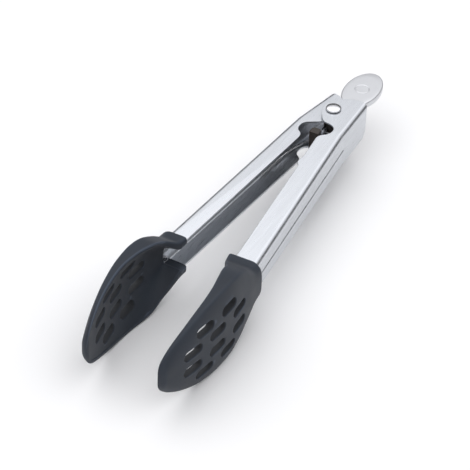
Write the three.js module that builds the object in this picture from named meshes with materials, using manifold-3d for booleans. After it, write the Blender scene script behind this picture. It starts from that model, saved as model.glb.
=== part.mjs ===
// Spring loaded kitchen tongs: two folded steel arms on one rivet, pushed apart by a torsion
// spring, with a sliding pull-tab lock and soft slotted scoops over moulded cores.
//
// Millimetres, +Z along the rivet. The scoops point along -Y, the pull tab along +Y, and the two
// arms lie either side of X = 0, standing open. Everything is drawn about the rivet's middle,
// and the whole is then moved so that the origin is the middle of the tongs' outer box.
import * as THREE from "three";
import { mergeVertices } from "three/addons/utils/BufferGeometryUtils.js";
import Module from "manifold-3d";

const wasm = await Module();
wasm.setup();

// ---------------------------------------------------------------- driving dimensions
const CLEARANCE = 0.25; // air between two pieces that touch on the real tongs
const SHEET = 0.9; // thickness of the arms' steel
const BEND_RADIUS = 2.5; // outside radius where a flange folds into the web

const COLLAR_START = 117.3; // rivet to the edge of a scoop's collar
const HEAD_LENGTH = 77.2; // collar's edge to the scoop's tip
const ARM_INSERT = 12.7; // how far an arm runs on inside its scoop
const ARM_LENGTH = COLLAR_START + ARM_INSERT;
const OUTER_HALF_HEIGHT = 9.4; // right arm at the hinge, mid-plane to the outside of a flange
const OUTER_HALF_HEIGHT_END = 7.8; // the same where the right arm ends
const INNER_HALF_HEIGHT_END = 7.2; // the left arm where it ends
const WASHER = 0.4; // thickness of a hinge washer

const TAIL_LENGTH = 12.2; // rivet to the end of the right arm's tail
const LEFT_TAIL_LENGTH = 13.8;
const RIGHT_KINK = { along: 16, out: 13.1 }; // where each web leaves its tail
const LEFT_KINK = { along: 11, out: 13.0 };
const RIGHT_TAIL_TAPER = 1.8; // degrees
const LEFT_TAIL_TAPER = 11.3;
const WEB_OUT_AT_HEAD = 22.6; // outside of both webs where the scoops take over
const HEAD_JOIN = COLLAR_START + 2.7; // rivet to that place

const RIGHT_FLANGE = 10.9; // depth of the right arm's flanges along the grip
const LEFT_FLANGE = 9.1;
const GROOVE = { start: 13, lead: 3, half: 0.9, depth: 0.45 }; // stiffening crease along a web

const RIVET_RADIUS = 1.6;
const RIVET_HEAD = { radius: 3.6, height: 1.3 };
const BUSH = { radius: 2.5, collar: 4.0 };

const WIRE_RADIUS = 0.55;
const COIL_TURNS = 3;
const LEG_REACH = 44; // rivet to the tip of a spring leg
const LEG_BEND = 16; // rivet to where a leg turns along its web
const LEG_RUN = 28; // rivet to where a leg lies straight along it

const BAR = { half: 4.9, thickness: 1.4, neck: 1.9 };
const LOCK_TRAVEL = 5;
const SHOE = { half: 2.2, length: 4, top: 16.2 }; // top: rivet to the shoe's near face, unlocked
const TAB = { half: 8.5, length: 29, thickness: 3.4, gap: 2.8, edge: 0.7 };

const SCOOP_HALF_WIDTH = 20.5;
const SCOOP_FACE = 3.5; // thickness of the slotted face
const SCOOP_BOW = 2.6; // how far the face falls back at its edges
const LIP = 1.9; // thickness of the scoop's rim
const COVER = 1.0; // soft layer over the core
const CORE = 1.0; // thickness of the core
const SLOT = { width: 4.6, length: 11.5, lining: 0.8 };
const HEAD_RIVET = { along: COLLAR_START + 3.1, off: 3.4, radius: 0.85, head: 1.3, cap: 0.5 };

// ---------------------------------------------------------------- finishes
const finish = (color, roughness, metalness) =>
  new THREE.MeshStandardMaterial({ color, roughness, metalness });
const brushedSteel = finish(0xc9cdd2, 0.32, 1);
const brightSteel = finish(0xdedfe2, 0.18, 1);
const springSteel = finish(0xa9acb0, 0.3, 1);
const satinMetal = finish(0xd6d8da, 0.42, 1);
const darkNylon = finish(0x2b2521, 0.55, 0);
const coreNylon = finish(0x25282d, 0.6, 0);
const softGrey = finish(0x3c424b, 0.78, 0);

// ---------------------------------------------------------------- solids
// A closed three.js geometry as a solid that can be joined and cut.
function solidOf(geometry) {
  const bare = geometry.clone();
  bare.deleteAttribute("normal");
  bare.deleteAttribute("uv");
  const merged = mergeVertices(bare, 1e-4);
  return new wasm.Manifold(
    new wasm.Mesh({
      numProp: 3,
      vertProperties: merged.attributes.position.array,
      triVerts: new Uint32Array(merged.index.array),
    }),
  );
}

function geometryOf(solid) {
  const { vertProperties, triVerts } = solid.getMesh();
  const geometry = new THREE.BufferGeometry();
  geometry.setAttribute("position", new THREE.BufferAttribute(vertProperties, 3));
  geometry.setIndex(new THREE.BufferAttribute(triVerts, 1));
  const flat = geometry.toNonIndexed();
  flat.computeVertexNormals();
  return flat;
}

// A plan outline pulled up from one height to another.
function slab(shape, from, to, curveSegments = 6) {
  const geometry = new THREE.ExtrudeGeometry(shape, {
    depth: to - from,
    bevelEnabled: false,
    curveSegments,
  });
  return solidOf(geometry.translate(0, 0, from));
}

// A side outline, drawn as (y, z), pulled through from one x to another.
function sideSlab(shape, from, to, curveSegments = 6) {
  const geometry = new THREE.ExtrudeGeometry(shape, {
    depth: to - from,
    bevelEnabled: false,
    curveSegments,
  });
  // Extruding runs along Z, so (y, z, depth) is turned into (x, y, z).
  const turn = new THREE.Matrix4().makeBasis(
    new THREE.Vector3(0, 1, 0),
    new THREE.Vector3(0, 0, 1),
    new THREE.Vector3(1, 0, 0),
  );
  return solidOf(geometry.translate(0, 0, from).applyMatrix4(turn));
}

// A round piece about the Z axis, from its (radius, height) profile.
const turned = (profile, segments = 24) =>
  solidOf(
    new THREE.LatheGeometry(
      profile.map(([r, z]) => new THREE.Vector2(r, z)),
      segments,
    ).rotateX(Math.PI / 2),
  );

// A round rod or ring about the Z axis.
const rod = (radius, from, to, segments = 24) =>
  turned([[0, from], [radius, from], [radius, to], [0, to]], segments);
const ring = (inner, outer, from, to, segments = 24) =>
  turned([[inner, from], [outer, from], [outer, to], [inner, to], [inner, from]], segments);

// A solid through rings of equal length that lie one behind another along -Y, each a list of
// [x, z].
function loft(stations) {
  const planar = ({ ring: points }) => points.map(([x, z]) => new THREE.Vector2(x, z));
  const backwards = THREE.ShapeUtils.area(planar(stations[0])) < 0;
  const rings = stations.map(({ y, ring: points }) => ({
    y,
    ring: backwards ? points.toReversed() : points,
  }));
  const count = rings[0].ring.length;
  const positions = rings.flatMap(({ y, ring: points }) => points.flatMap(([x, z]) => [x, y, z]));
  const faces = [];
  for (let s = 0; s + 1 < rings.length; s += 1) {
    for (let i = 0; i < count; i += 1) {
      const near = s * count + i;
      const next = s * count + ((i + 1) % count);
      faces.push(near, next, near + count, next, next + count, near + count);
    }
  }
  const capOf = (station) => THREE.ShapeUtils.triangulateShape(planar(station), []);
  const last = (rings.length - 1) * count;
  for (const [a, b, c] of capOf(rings[0])) faces.push(a, c, b);
  for (const [a, b, c] of capOf(rings.at(-1))) faces.push(last + a, last + b, last + c);
  const geometry = new THREE.BufferGeometry();
  geometry.setAttribute("position", new THREE.Float32BufferAttribute(positions, 3));
  geometry.setIndex(faces);
  return solidOf(geometry);
}

const mirrored = (solid) => solid.mirror([1, 0, 0]);
const radians = THREE.MathUtils.degToRad;
const blend = THREE.MathUtils.lerp;

// A value that runs smoothly through [share, value] pairs, as a function of the distance from
// the rivet, where the share goes from 0 at the collar's edge to 1 at the scoop's tip.
function along(pairs) {
  const curve = new THREE.SplineCurve(pairs.map(([share, v]) => new THREE.Vector2(share, v)));
  const samples = curve.getPoints(pairs.length * 12);
  return (distance) => {
    const share = (distance - COLLAR_START) / HEAD_LENGTH;
    const after = samples.findIndex((p) => p.x >= share);
    if (after < 0) return samples.at(-1).y;
    if (after === 0) return samples[0].y;
    const [a, b] = [samples[after - 1], samples[after]];
    return blend(a.y, b.y, (share - a.x) / (b.x - a.x || 1));
  };
}

// ---------------------------------------------------------------- arms
// Each arm is described by a small set of values and drawn on the +X side. Its cheek is how far
// the scoop's collar reaches past the flanges' free edges.
const NEST = SHEET + WASHER + 2 * CLEARANCE; // how much smaller the left arm is, each way
const rightArm = {
  kink: RIGHT_KINK,
  taper: RIGHT_TAIL_TAPER,
  tail: TAIL_LENGTH,
  flange: RIGHT_FLANGE,
  cheek: 3.2,
  half: OUTER_HALF_HEIGHT,
  halfEnd: OUTER_HALF_HEIGHT_END,
};
const leftArm = {
  kink: LEFT_KINK,
  taper: LEFT_TAIL_TAPER,
  tail: LEFT_TAIL_LENGTH,
  flange: LEFT_FLANGE,
  cheek: 1.4,
  half: OUTER_HALF_HEIGHT - NEST,
  halfEnd: INNER_HALF_HEIGHT_END,
};

// Outside of the web, and half the height, at a distance from the rivet towards the scoops.
function webOut(arm, distance) {
  const { along: at, out } = arm.kink;
  if (distance < at) return out - (at - distance) * Math.tan(radians(arm.taper));
  return out + ((distance - at) / (HEAD_JOIN - at)) * (WEB_OUT_AT_HEAD - out);
}
function halfHeight(arm, distance) {
  const share = Math.max(0, distance - arm.kink.along) / (ARM_LENGTH - arm.kink.along);
  return blend(arm.half, arm.halfEnd, share);
}

// The channel's section: flange, bend, creased web, bend, flange, and back along the inside.
function channelRing(arm, distance, { reach, grow = 0 }) {
  const out = webOut(arm, distance) + grow;
  const half = halfHeight(arm, distance) + grow;
  const sheet = SHEET + 2 * grow;
  const begun = THREE.MathUtils.clamp((distance - GROOVE.start) / GROOVE.lead, 0, 1);
  const crease = GROOVE.depth * begun;
  const bend = (radius, x, z, sign) =>
    [0, 1, 2, 3].map((step) => {
      const turn = (step / 3) * (Math.PI / 2);
      return [x + radius * Math.sin(turn), z + sign * radius * Math.cos(turn)];
    });
  const wall = (inset) => {
    const radius = BEND_RADIUS + grow - inset;
    const centre = half - BEND_RADIUS - grow;
    const face = out - inset;
    const upper = bend(radius, face - radius, centre, 1);
    const lower = bend(radius, face - radius, -centre, -1).toReversed();
    const pressed = grow > 0 && inset === 0 ? 0 : crease;
    const groove = [
      [face, GROOVE.half],
      [face - pressed, 0],
      [face, -GROOVE.half],
    ];
    return [[reach, half - inset], ...upper, ...groove, ...lower, [reach, inset - half]];
  };
  return [...wall(0), ...wall(sheet).toReversed()];
}

function channel(arm, from, to, options) {
  const breaks = [
    from,
    arm.kink.along,
    GROOVE.start,
    GROOVE.start + GROOVE.lead,
    to,
  ];
  const kept = [...new Set(breaks)].filter((d) => d >= from && d <= to);
  kept.sort((a, b) => a - b);
  return loft(kept.map((d) => ({ y: -d, ring: channelRing(arm, d, options) })));
}

// Inside the scoop the flanges run out, and only the web goes on to the arm's end.
function flangeEnd(shape, arm) {
  const start = COLLAR_START + ARM_INSERT * 0.15;
  const end = COLLAR_START + ARM_INSERT * 0.62;
  shape.lineTo(webOut(arm, start) - arm.flange, -start);
  shape.lineTo(webOut(arm, end) - SHEET * 2, -end);
  shape.lineTo(webOut(arm, end) - SHEET * 3, -ARM_LENGTH - 1);
}

// Plan outline of the right arm: a lobe round the rivet, the lock notch, a small tooth, and
// then the flange's free edge down to the scoop.
function rightPlan(arm) {
  const outside = WEB_OUT_AT_HEAD + 10;
  const edge = (distance) => webOut(arm, distance) - arm.flange;
  const corner = webOut(arm, -arm.tail);
  const shape = new THREE.Shape();
  shape.moveTo(outside, -ARM_LENGTH - 1);
  shape.lineTo(outside, arm.tail - 2);
  shape.lineTo(corner, arm.tail - 2);
  shape.quadraticCurveTo(corner - 1.6, arm.tail, corner - 4, arm.tail);
  shape.bezierCurveTo(2.5, 11.9, -2.5, 8.2, -4.4, 4.6);
  shape.bezierCurveTo(-6.2, 0.6, -4.6, -4.6, -0.6, -9.6);
  shape.quadraticCurveTo(0.2, -10.7, 2, -10.8);
  shape.bezierCurveTo(5.2, -10.9, 7.4, -13, 7.2, -15.6);
  shape.bezierCurveTo(7.1, -18.6, 5.2, -19.6, 4.2, -20.6);
  shape.quadraticCurveTo(2.9, -21.9, edge(24), -24);
  shape.lineTo(edge(38), -38);
  shape.quadraticCurveTo(edge(42) - 0.8, -41, edge(42) - 0.9, -42.6);
  shape.quadraticCurveTo(edge(44) - 0.9, -44.6, edge(45) + 0.2, -45.4);
  shape.lineTo(edge(47) + 0.3, -47);
  flangeEnd(shape, arm);
  shape.closePath();
  return shape;
}

// Plan outline of the left arm, drawn on the +X side before it is mirrored.
function leftPlan(arm) {
  const outside = WEB_OUT_AT_HEAD + 10;
  const edge = (distance) => webOut(arm, distance) - arm.flange;
  const corner = webOut(arm, -arm.tail);
  const shape = new THREE.Shape();
  shape.moveTo(outside, -ARM_LENGTH);
  shape.lineTo(outside, arm.tail - 1.4);
  shape.lineTo(corner + 0.1, arm.tail - 1.4);
  shape.quadraticCurveTo(corner - 0.4, arm.tail, corner - 2.4, arm.tail);
  shape.bezierCurveTo(2, 13.4, -2.5, 9.4, -4.4, 5);
  shape.bezierCurveTo(-6.4, 0.6, -4.4, -6.4, 1.4, -8.8);
  shape.lineTo(6.4, -12);
  shape.quadraticCurveTo(8.9, -13.4, 8.9, -16.6);
  shape.quadraticCurveTo(8.9, -19.2, 7.2, -20.6);
  shape.quadraticCurveTo(edge(23), -21.8, edge(25), -25);
  flangeEnd(shape, arm);
  shape.closePath();
  return shape;
}

// The web's own end is chamfered, long below and short above.
function tailChamfers(arm) {
  const end = arm.tail - 1.4;
  const inside = webOut(arm, -arm.tail) - BEND_RADIUS - 0.2;
  const cut = (sign, back, drop) => {
    const edge = sign * (arm.half + 0.5);
    const shape = new THREE.Shape();
    shape.moveTo(end - back, edge);
    shape.quadraticCurveTo(end - back * 0.25, sign * (arm.half - drop * 0.4), end, edge - sign * drop);
    shape.lineTo(end + 3, edge - sign * drop);
    shape.lineTo(end + 3, edge);
    shape.closePath();
    return sideSlab(shape, inside, inside + 8, 4);
  };
  return cut(-1, 4.5, 7.5).add(cut(1, 1.6, 2));
}

function armSolid(arm, plan, reach) {
  const full = arm.half + 1;
  return channel(arm, -arm.tail, ARM_LENGTH, { reach })
    .intersect(slab(plan(arm), -full, full))
    .subtract(rod(RIVET_RADIUS + CLEARANCE, -full, full))
    .subtract(tailChamfers(arm))
    .subtract(headRivetHoles());
}

// ---------------------------------------------------------------- hinge
const headSeat = OUTER_HALF_HEIGHT + CLEARANCE;

function hingeRivet() {
  const { radius, height } = RIVET_HEAD;
  const shank = RIVET_RADIUS;
  const rim = headSeat + 0.3;
  const top = headSeat + height;
  const dome = [0, 1, 2, 3, 4, 5].map((step) => {
    const turn = (step / 5) * (Math.PI / 2);
    return [radius * Math.cos(turn), rim + (top - rim) * Math.sin(turn)];
  });
  dome.at(-1)[0] = 0;
  const upper = [[shank, headSeat], [radius - 0.15, headSeat], ...dome];
  const lower = upper.toReversed().map(([r, z]) => [r, -z]);
  return turned([...lower, ...upper], 28);
}

function hingeWasher(side) {
  const middle = OUTER_HALF_HEIGHT - SHEET - CLEARANCE - WASHER / 2;
  const inner = RIVET_RADIUS + CLEARANCE;
  return ring(inner, 4.4, side * middle - WASHER / 2, side * middle + WASHER / 2, 24);
}

const channelRoom = OUTER_HALF_HEIGHT - NEST - SHEET; // clear half-height inside the left arm
const bushHalf = channelRoom - CLEARANCE;
const barHalf = BAR.thickness / 2;

function hingeBush() {
  const bore = RIVET_RADIUS + CLEARANCE;
  const collarFrom = barHalf + CLEARANCE;
  return turned(
    [
      [bore, -bushHalf],
      [BUSH.radius, -bushHalf],
      [BUSH.radius, collarFrom],
      [BUSH.collar, collarFrom],
      [BUSH.collar, bushHalf],
      [bore, bushHalf],
      [bore, -bushHalf],
    ],
    24,
  );
}

// A coil round the bush with a leg along each arm's web.
const coilRadius = BUSH.radius + CLEARANCE + WIRE_RADIUS + 0.15;
const coilLow = -bushHalf + WIRE_RADIUS + 0.2;
const coilHigh = -barHalf - CLEARANCE - WIRE_RADIUS - 0.1;

const LEG_GAP = 0.15; // more air between a leg and its web, over the clearance

function springPath() {
  const legX = (arm, distance) =>
    webOut(arm, distance) - SHEET - WIRE_RADIUS - CLEARANCE - LEG_GAP;
  // The left arm gets shallower along its length, so its leg rises as much.
  const lowLeg = (distance) => coilLow + leftArm.half - halfHeight(leftArm, distance);
  const points = [];
  const start = radians(200);
  const sweep = radians(140) + COIL_TURNS * 2 * Math.PI;
  const steps = COIL_TURNS * 18 + 7;
  points.push(new THREE.Vector3(-legX(leftArm, LEG_REACH), -LEG_REACH, lowLeg(LEG_REACH)));
  points.push(new THREE.Vector3(-legX(leftArm, LEG_RUN), -LEG_RUN, lowLeg(LEG_RUN)));
  points.push(new THREE.Vector3(-legX(leftArm, LEG_BEND) + 0.7, -LEG_BEND, lowLeg(LEG_BEND)));
  points.push(new THREE.Vector3(-7.4, -8.6, coilLow));
  for (let i = 0; i <= steps; i += 1) {
    const share = i / steps;
    const turn = start - sweep * share;
    points.push(
      new THREE.Vector3(
        coilRadius * Math.cos(turn),
        coilRadius * Math.sin(turn),
        blend(coilLow, coilHigh, share),
      ),
    );
  }
  points.push(new THREE.Vector3(7.4, -8.6, coilHigh));
  points.push(new THREE.Vector3(legX(rightArm, LEG_BEND) - 0.7, -LEG_BEND, coilHigh));
  points.push(new THREE.Vector3(legX(rightArm, LEG_RUN), -LEG_RUN, coilHigh));
  points.push(new THREE.Vector3(legX(rightArm, LEG_REACH), -LEG_REACH, coilHigh));
  return new THREE.CatmullRomCurve3(points, false, "centripetal");
}

function torsionSpring() {
  const section = new THREE.Shape();
  section.absarc(0, 0, WIRE_RADIUS, 0, 2 * Math.PI);
  return solidOf(
    new THREE.ExtrudeGeometry(section, {
      steps: 120,
      curveSegments: 3,
      bevelEnabled: false,
      extrudePath: springPath(),
    }),
  );
}

// ---------------------------------------------------------------- lock
const tabNear = LEFT_TAIL_LENGTH + TAB.gap; // edge of the tab next to the arms
const tabMiddle = tabNear + TAB.length / 2;
const shoeTop = -SHOE.top;
const barEnd = tabNear + TAB.length * 0.55;

// A strap with a slot that slides on the bush, a neck down to the shoe, and a tail in the tab.
function lockBar() {
  const slotHalf = BUSH.radius + CLEARANCE;
  const shoulder = -(BUSH.radius + 6.6);
  const shape = new THREE.Shape();
  shape.moveTo(-BAR.neck, shoeTop - SHOE.length + 1);
  shape.lineTo(BAR.neck, shoeTop - SHOE.length + 1);
  shape.lineTo(BAR.neck, shoulder - 1.6);
  shape.quadraticCurveTo(BAR.neck, shoulder, BAR.half - 1, shoulder + 1.4);
  shape.lineTo(BAR.half, shoulder + 3);
  shape.lineTo(BAR.half, barEnd - 2);
  shape.lineTo(BAR.half - 2, barEnd);
  shape.lineTo(2 - BAR.half, barEnd);
  shape.lineTo(-BAR.half, barEnd - 2);
  shape.lineTo(-BAR.half, shoulder + 3);
  shape.lineTo(1 - BAR.half, shoulder + 1.4);
  shape.quadraticCurveTo(-BAR.neck, shoulder, -BAR.neck, shoulder - 1.6);
  shape.closePath();
  const slot = new THREE.Path();
  slot.absarc(0, 0.3, slotHalf, 0, Math.PI, false);
  slot.absarc(0, -LOCK_TRAVEL - 0.3, slotHalf, Math.PI, 2 * Math.PI, false);
  slot.closePath();
  shape.holes.push(slot);
  return slab(shape, -barHalf, barHalf, 8).subtract(
    rod(0.8 + CLEARANCE, -1, 1, 16).translate([0, shoeTop - 1.7, 0]),
  );
}

// The block that runs in the notches of both arms, pinned on the bar's neck.
function lockShoe() {
  const half = OUTER_HALF_HEIGHT - 0.6;
  const shape = new THREE.Shape();
  shape.moveTo(-SHOE.half, shoeTop - 0.8);
  shape.lineTo(-SHOE.half, shoeTop - SHOE.length);
  shape.lineTo(SHOE.half, shoeTop - SHOE.length);
  shape.lineTo(SHOE.half, shoeTop - 0.8);
  shape.lineTo(SHOE.half - 0.8, shoeTop);
  shape.lineTo(0.8 - SHOE.half, shoeTop);
  shape.closePath();
  const room = new THREE.Shape();
  const side = BAR.neck + CLEARANCE / 2;
  room.moveTo(-side, shoeTop - SHOE.length + 1 - CLEARANCE);
  room.lineTo(side, shoeTop - SHOE.length + 1 - CLEARANCE);
  room.lineTo(side, shoeTop + 1);
  room.lineTo(-side, shoeTop + 1);
  room.closePath();
  return slab(shape, -half, half)
    .subtract(slab(room, -barHalf - CLEARANCE, barHalf + CLEARANCE))
    .subtract(rod(0.8 + CLEARANCE, -3.2, 3.2, 16).translate([0, shoeTop - 1.7, 0]));
}

const lockPin = () => rod(0.8, -2.9, 2.9, 16).translate([0, shoeTop - 1.7, 0]);

// A thick oval grip with softened edges and a pocket for the bar.
function pullTab() {
  const oval = (inset) => {
    const shape = new THREE.Shape();
    shape.absellipse(0, tabMiddle, TAB.half - inset, TAB.length / 2 - inset, 0, 2 * Math.PI);
    return shape;
  };
  const half = TAB.thickness / 2;
  const body = slab(oval(0), TAB.edge - half, half - TAB.edge, 16)
    .add(slab(oval(TAB.edge * 0.35), TAB.edge * 0.45 - half, half - TAB.edge * 0.45, 16))
    .add(slab(oval(TAB.edge), -half, half, 16));
  const pocket = new THREE.Shape();
  const side = BAR.half + CLEARANCE;
  pocket.moveTo(-side, tabNear - 2);
  pocket.lineTo(side, tabNear - 2);
  pocket.lineTo(side, barEnd + CLEARANCE);
  pocket.lineTo(-side, barEnd + CLEARANCE);
  pocket.closePath();
  const room = barHalf + CLEARANCE / 2;
  return body.subtract(slab(pocket, -room, room));
}

// ---------------------------------------------------------------- heads
// Drawn on the +X side.
const at = (share) => COLLAR_START + share * HEAD_LENGTH;
const collarOut = (distance) => webOut(rightArm, distance) + CORE + COVER + 2.2 * CLEARANCE;
const faceAtArmEnd = collarOut(ARM_LENGTH);

// Outside of the face along the middle of a scoop.
const faceOut = along([
  [-0.01, collarOut(COLLAR_START)],
  [0.085, collarOut(at(0.085))],
  [0.17, collarOut(at(0.17)) + 0.05],
  [0.35, faceAtArmEnd + 1.2],
  [0.52, faceAtArmEnd + 0.8],
  [0.7, faceAtArmEnd - 0.8],
  [0.86, faceAtArmEnd - 3.2],
  [1, faceAtArmEnd - 6.2],
]);

// Inside edge of the rim: it covers the arm's flanges at the collar and closes in on the face.
const lipOf = (arm) =>
  along([
    [-0.01, webOut(arm, COLLAR_START) - arm.flange - arm.cheek],
    [0.08, webOut(arm, HEAD_JOIN) - arm.flange - arm.cheek * 0.6],
    [0.19, faceAtArmEnd - 11.6 + (RIGHT_FLANGE - arm.flange) / 2],
    [0.3, faceAtArmEnd - 9.4],
    [0.39, faceAtArmEnd - 7.8],
    [0.48, faceAtArmEnd - 6.6],
    [0.6, faceAtArmEnd - 6.0],
    [0.77, faceAtArmEnd - 6.7],
    [0.91, faceAtArmEnd - 8.3],
    [1, faceAtArmEnd - 9.4],
  ]);

const collarHalf = OUTER_HALF_HEIGHT_END + 2.1;
const halfWidth = along([
  [-0.01, collarHalf],
  [0.07, collarHalf + 0.6],
  [0.16, blend(collarHalf, SCOOP_HALF_WIDTH, 0.46)],
  [0.26, blend(collarHalf, SCOOP_HALF_WIDTH, 0.82)],
  [0.36, blend(collarHalf, SCOOP_HALF_WIDTH, 0.97)],
  [0.46, SCOOP_HALF_WIDTH],
  [0.57, SCOOP_HALF_WIDTH * 0.985],
  [0.7, SCOOP_HALF_WIDTH * 0.9],
  [0.82, SCOOP_HALF_WIDTH * 0.75],
  [0.91, SCOOP_HALF_WIDTH * 0.58],
  [0.962, SCOOP_HALF_WIDTH * 0.43],
  [0.99, SCOOP_HALF_WIDTH * 0.28],
  [1, SCOOP_HALF_WIDTH * 0.16],
]);

// How square the hollow is: nearly a box in the collar, a shallow dish past it.
const boxiness = along([[-0.01, 9], [0.1, 7], [0.25, 3.6], [0.45, 2.6], [1, 2.2]]);

// Inside the collar the face is thick enough to hold the core, the steel and a lining.
const collarLining = along([[-0.01, 1.5], [0.13, 1.5], [0.24, 0.5], [0.35, 0], [1, 0]]);

const bowed = (distance, share) => faceOut(distance) - SCOOP_BOW * Math.abs(share) ** 3.5;

// Thickness of the side walls: the collar's hold the flanges, the dish's are a plain rim.
const wallAt = along([
  [-0.01, collarHalf - OUTER_HALF_HEIGHT_END + SHEET + 0.9],
  [0.07, collarHalf - OUTER_HALF_HEIGHT_END + SHEET + 1.2],
  [0.14, 3.4],
  [0.22, 2.5],
  [0.34, LIP],
  [1, LIP],
]);

// Near the tip the dish's floor comes up to the rim and closes it.
const closing = along([[0, 0], [0.9, 0], [0.94, 0.25], [0.975, 1], [1, 1]]);

function scoopRing(distance, tip) {
  const width = halfWidth(distance);
  const lip = Math.min(wallAt(distance), width * 0.45);
  const shares = [-1, -0.9, -0.68, -0.36, 0, 0.36, 0.68, 0.9, 1];
  const outside = shares.map((s) => [bowed(distance, s), s * width]);
  const dish = faceOut(distance) - SCOOP_FACE - collarLining(distance);
  const floor = blend(dish, tip + 0.4, THREE.MathUtils.clamp(closing(distance), 0, 1));
  const inside = shares.map((s) => {
    const fall = Math.max(0, floor - tip - 0.4) * Math.abs(s) ** boxiness(distance);
    return [floor - fall, s * (width - lip)];
  });
  const rim = (sign) => [
    [tip + 0.35, sign * width],
    [tip, sign * (width - lip * 0.22)],
    [tip, sign * (width - lip * 0.78)],
  ];
  return [...outside, ...rim(1), ...inside.toReversed(), ...rim(-1).toReversed()];
}

const scoopStations = [
  0, 0.045, 0.095, 0.145, 0.2, 0.27, 0.36, 0.46, 0.57, 0.68, 0.78, 0.86, 0.92, 0.962, 0.988, 1,
];

// The core is a tongue outside the web that runs on as a plate inside the scoop's face.
const coreStations = [0.021, 0.09, 0.17, 0.26, 0.38, 0.52, 0.66, 0.79, 0.89];
const coreMargin = SCOOP_HALF_WIDTH - 4.8;
const coreWidth = along([
  [0, 5.6],
  [0.12, 6.2],
  [0.2, coreMargin * 0.62],
  [0.28, coreMargin * 0.89],
  [0.38, coreMargin],
  [0.55, coreMargin],
  [0.7, coreMargin * 0.87],
  [0.82, coreMargin * 0.62],
  [0.9, coreMargin * 0.31],
]);

function coreRing(distance, grow) {
  const width = coreWidth(distance) + grow;
  const shares = [-1, -0.6, 0, 0.6, 1];
  const outerAt = (share) =>
    bowed(distance, (share * width) / halfWidth(distance)) - COVER + grow - CLEARANCE;
  const outside = shares.map((s) => [outerAt(s), s * width]);
  const inside = shares.map((s) => [outerAt(s) - CORE - 2 * grow, s * width]);
  return [...outside, ...inside.toReversed()];
}

function coreBlank(grow) {
  const stations = coreStations.map(at);
  stations[0] -= grow;
  stations[stations.length - 1] += grow;
  return loft(stations.map((d) => ({ y: -d, ring: coreRing(d, grow) })));
}

const slotPlaces = [
  ...[0.318, 0.553, 0.773].flatMap((share) => [[at(share), 4.3], [at(share), -4.3]]),
  ...[0.435, 0.664].flatMap((share) => [[at(share), 11.2], [at(share), -11.2]]),
];

function slotCutters(grow) {
  const radius = SLOT.width / 2 + grow;
  const reach = (SLOT.length - SLOT.width) / 2;
  return slotPlaces.map(([distance, height]) => {
    const shape = new THREE.Shape();
    shape.absarc(-distance + reach, height, radius, -Math.PI / 2, Math.PI / 2, false);
    shape.absarc(-distance - reach, height, radius, Math.PI / 2, (3 * Math.PI) / 2, false);
    shape.closePath();
    return sideSlab(shape, faceAtArmEnd - 18, faceAtArmEnd + 8, 4);
  });
}

// Rivets from the inside of the web out through the core's tongue.
const alongX = (solid) => solid.rotate([0, 90, 0]);
const rivetPlaces = [1, -1].map((sign) => sign * HEAD_RIVET.off);
const rivetEnd = faceOut(HEAD_RIVET.along) - COVER - 1.5 * CLEARANCE;

function headRivet(height, arm) {
  const inner = webOut(arm, HEAD_RIVET.along) - SHEET - CLEARANCE - GROOVE.depth;
  const { radius, head, cap } = HEAD_RIVET;
  return alongX(
    turned(
      [
        [0, inner - cap],
        [head * 0.8, inner - cap],
        [head, inner - cap * 0.5],
        [head, inner],
        [radius, inner],
        [radius, rivetEnd],
        [0, rivetEnd],
      ],
      12,
    ),
  ).translate([0, -HEAD_RIVET.along, height]);
}

function headRivetHoles(until = rivetEnd + CLEARANCE, radius = HEAD_RIVET.radius) {
  return wasm.Manifold.union(
    rivetPlaces.map((height) =>
      alongX(rod(radius + CLEARANCE, rivetEnd - 10, until, 16)).translate([
        0,
        -HEAD_RIVET.along,
        height,
      ]),
    ),
  );
}

function headCore() {
  let core = coreBlank(0).subtract(headRivetHoles(rivetEnd + 4));
  for (const cutter of slotCutters(SLOT.lining)) core = core.subtract(cutter);
  return core;
}

// The fish mouth where the inside of the arm shows between the collar's two cheeks.
function mouth(arm) {
  const apex = -at(0.107);
  const open = -COLLAR_START + 2;
  const height = arm.halfEnd - SHEET + 0.2;
  const shape = new THREE.Shape();
  shape.moveTo(open, height);
  shape.quadraticCurveTo(-at(0.049), height * 0.85, apex, 0);
  shape.quadraticCurveTo(-at(0.049), -height * 0.85, open, -height);
  shape.closePath();
  const face = webOut(arm, HEAD_RIVET.along) - SHEET / 2;
  return sideSlab(shape, face - 18, face, 6);
}

function headScoop(arm) {
  const lip = lipOf(arm);
  const stations = scoopStations.map(at);
  const blank = loft(stations.map((d) => ({ y: -d, ring: scoopRing(d, lip(d)) })));
  const steel = channel(arm, COLLAR_START - 3, ARM_LENGTH + CLEARANCE, {
    reach: webOut(arm, COLLAR_START - 3) - arm.flange - 2 * CLEARANCE,
    grow: CLEARANCE,
  });
  let scoop = blank
    .subtract(steel)
    .subtract(coreBlank(CLEARANCE))
    .subtract(mouth(arm))
    .subtract(headRivetHoles())
    .subtract(headRivetHoles(webOut(arm, HEAD_RIVET.along) - SHEET, HEAD_RIVET.head));
  for (const cutter of slotCutters(0)) scoop = scoop.subtract(cutter);
  return scoop;
}

// ---------------------------------------------------------------- assembly
const tongs = new THREE.Group();
tongs.position.y = (at(1) - tabNear - TAB.length) / 2;

function place(name, solid, material) {
  const mesh = new THREE.Mesh(geometryOf(solid), material);
  mesh.name = name;
  tongs.add(mesh);
}

place("arm_right", armSolid(rightArm, rightPlan, -9), brushedSteel);
place("arm_left", mirrored(armSolid(leftArm, leftPlan, -9)), brushedSteel);

place("hinge_rivet", hingeRivet(), brightSteel);
place("hinge_washer_top", hingeWasher(1), satinMetal);
place("hinge_washer_bottom", hingeWasher(-1), satinMetal);
place("hinge_bush", hingeBush(), darkNylon);
place("torsion_spring", torsionSpring(), springSteel);

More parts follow.
